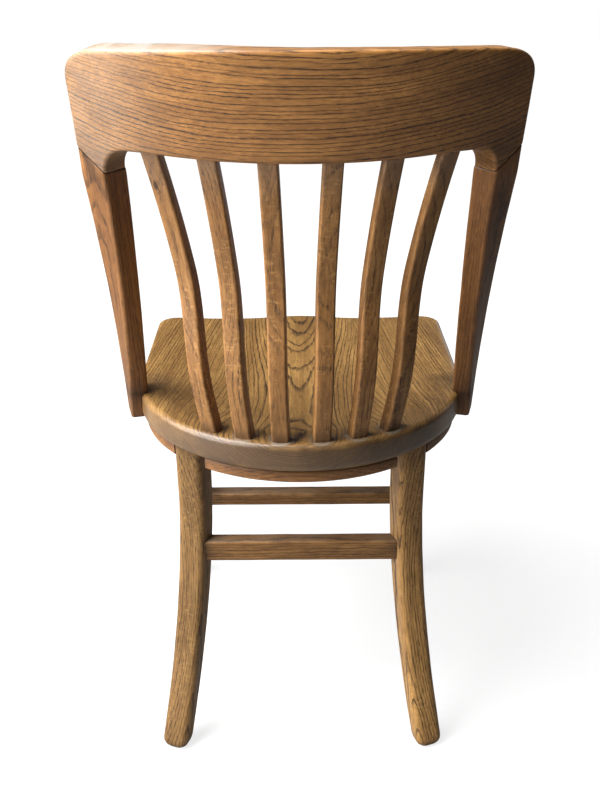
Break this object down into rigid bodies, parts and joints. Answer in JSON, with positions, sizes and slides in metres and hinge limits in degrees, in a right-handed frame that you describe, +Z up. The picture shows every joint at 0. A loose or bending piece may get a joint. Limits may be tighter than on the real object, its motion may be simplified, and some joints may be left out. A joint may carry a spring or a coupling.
{
  "type": "dining chair",
  "caption": "Wooden spindle back dining chair: bowed crest rail, splayed posts, curved slats and a dished seat with a round back edge on splayed legs with stretchers.",
  "frame": {"origin": "on the floor under the middle of the chair's bounding box", "axes": "+Z up, the sitter faces -Y, +X is the sitter's left"},
  "size_m": [0.4564, 0.4794, 0.866],
  "materials": {
    "crest_oak": "worn satin varnish over stained oak",
    "post_oak": "worn satin varnish over stained oak",
    "slat_oak": "worn satin varnish over stained oak",
    "seat_oak": "worn satin varnish over stained oak",
    "leg_oak": "worn satin varnish over stained oak",
    "stretcher_oak": "worn satin varnish over stained oak",
    "apron_oak": "worn satin varnish over stained oak",
    "dowel_wood": "bare wood",
    "plug_wood": "worn satin varnish over stained oak",
    "screw_steel": "plain steel"
  },
  "bodies": {
    "root": {"crest_rail": "crest_oak", "left_back_post": "post_oak", "right_back_post": "post_oak", "back_slat_1": "slat_oak", "back_slat_2": "slat_oak", "back_slat_3": "slat_oak", "back_slat_4": "slat_oak", "back_slat_5": "slat_oak", "back_slat_6": "slat_oak", "left_seat_board": "seat_oak", "centre_seat_board": "seat_oak", "right_seat_board": "seat_oak", "left_back_leg": "leg_oak", "right_back_leg": "leg_oak", "left_front_leg": "leg_oak", "right_front_leg": "leg_oak", "rear_stretcher": "stretcher_oak", "front_stretcher": "stretcher_oak", "left_side_stretcher": "stretcher_oak", "right_side_stretcher": "stretcher_oak", "rear_apron": "apron_oak", "front_apron": "apron_oak", "left_side_apron": "apron_oak", "right_side_apron": "apron_oak", "crest_dowels": "dowel_wood", "post_plugs": "plug_wood", "post_screws": "screw_steel", "apron_screws": "screw_steel"}
  },
  "joints": []
}
